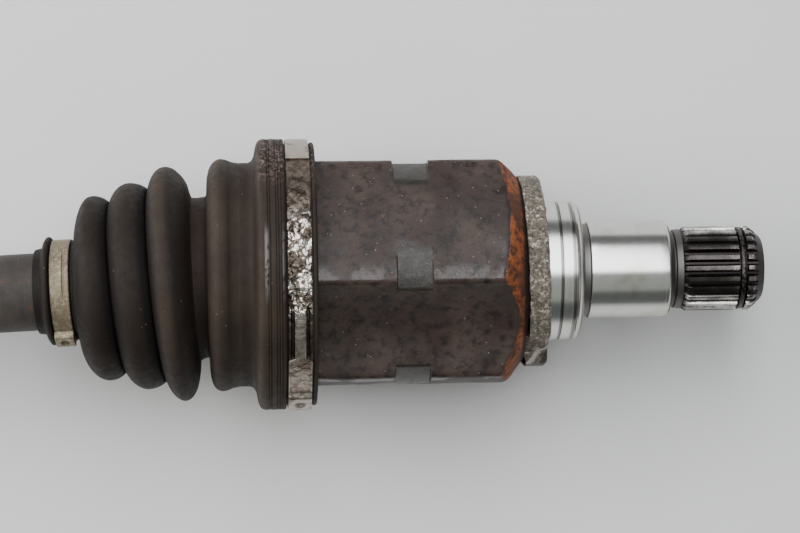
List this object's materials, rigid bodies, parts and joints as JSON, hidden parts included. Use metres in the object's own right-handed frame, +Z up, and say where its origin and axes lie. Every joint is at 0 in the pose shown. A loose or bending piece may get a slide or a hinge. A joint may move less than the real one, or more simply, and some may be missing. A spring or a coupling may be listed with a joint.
{
  "type": "cv axle",
  "caption": "Front-wheel-drive half-shaft: plunging tripod joint with a splined gearbox stub, rubber bellows, solid bar and a fixed ball joint at the wheel end.",
  "frame": {"origin": "bottom middle of the axle's box as it lies on a floor", "axes": "+X along the bar to the gearbox end, +Z up"},
  "size_m": [0.602, 0.096, 0.0956],
  "materials": {
    "painted_forging": "worn black paint over forged steel",
    "shaft_coat": "dull brown-black coating",
    "boot_rubber": "matte, dusty",
    "zinc_plate": "dull galvanised",
    "clamp_steel": "bright, scuffed",
    "greased_steel": "ground and greased",
    "ground_steel": "ground bright"
  },
  "bodies": {
    "shaft": {"shaft": "shaft_coat", "spider": "greased_steel", "spider_snap_ring": "greased_steel", "needle_set_1": "greased_steel", "needle_set_2": "greased_steel", "needle_set_3": "greased_steel", "trunnion_ring_1": "greased_steel", "trunnion_ring_2": "greased_steel", "trunnion_ring_3": "greased_steel", "inner_boot_small_clamp": "zinc_plate", "inner_race": "greased_steel", "race_snap_ring": "greased_steel", "outer_boot_small_clamp": "clamp_steel"},
    "inner_boot": {"inner_boot": "boot_rubber"},
    "inner_housing": {"inner_housing": "painted_forging", "dust_deflector": "zinc_plate", "stub_snap_ring": "greased_steel", "inner_boot_large_clamp": "clamp_steel"},
    "roller_1": {"roller_1": "greased_steel"},
    "roller_2": {"roller_2": "greased_steel"},
    "roller_3": {"roller_3": "greased_steel"},
    "outer_race": {"outer_race": "painted_forging", "outer_boot": "boot_rubber", "outer_boot_large_clamp": "clamp_steel"},
    "cage": {"cage": "greased_steel", "ball_1": "ground_steel", "ball_2": "ground_steel", "ball_3": "ground_steel", "ball_4": "ground_steel", "ball_5": "ground_steel", "ball_6": "ground_steel"}
  },
  "joints": [
    {"name": "inner_tilt", "type": "hinge", "parent": "shaft", "child": "inner_boot", "pos_m": [0.16104, -0.00096, 0.04613], "axis": [0, 0.8058, -0.5922], "range_deg": [-22.2, 13.8], "deforming": ["inner_boot"]},
    {"name": "inner_plunge", "type": "slide", "parent": "inner_boot", "child": "inner_housing", "axis": [0.9973, -0.0435, -0.0593], "range_m": [-0.01, 0.018], "deforming": ["inner_boot"]},
    {"name": "roller_1_spin", "type": "hinge", "parent": "shaft", "child": "roller_1", "pos_m": [0.16104, 0.01029, 0.06561], "axis": [0, 0.5, 0.866], "range_deg": [-45, 75]},
    {"name": "roller_2_spin", "type": "hinge", "parent": "shaft", "child": "roller_2", "pos_m": [0.16104, 0.01029, 0.02664], "axis": [0, 0.5, -0.866], "range_deg": [-45, 75]},
    {"name": "roller_3_spin", "type": "hinge", "parent": "shaft", "child": "roller_3", "pos_m": [0.16104, -0.02346, 0.04613], "axis": [0, -1, 0], "range_deg": [-45, 75]},
    {"name": "outer_tilt", "type": "hinge", "parent": "shaft", "child": "outer_race", "pos_m": [-0.18896, -0.00096, 0.04613], "axis": [0, 0, 1], "range_deg": [-40, 40], "deforming": ["outer_boot"]},
    {"name": "cage_tilt", "type": "hinge", "parent": "shaft", "child": "cage", "pos_m": [-0.18896, -0.00096, 0.04613], "axis": [0, 0, 1], "range_deg": [-20, 20]}
  ],
  "couplings": [
    {"joint": "roller_1_spin", "follows": "inner_plunge", "rad_per_m": 60.606},
    {"joint": "roller_2_spin", "follows": "inner_plunge", "rad_per_m": 60.606},
    {"joint": "roller_3_spin", "follows": "inner_plunge", "rad_per_m": 60.606},
    {"joint": "cage_tilt", "follows": "outer_tilt", "ratio": 0.5}
  ]
}
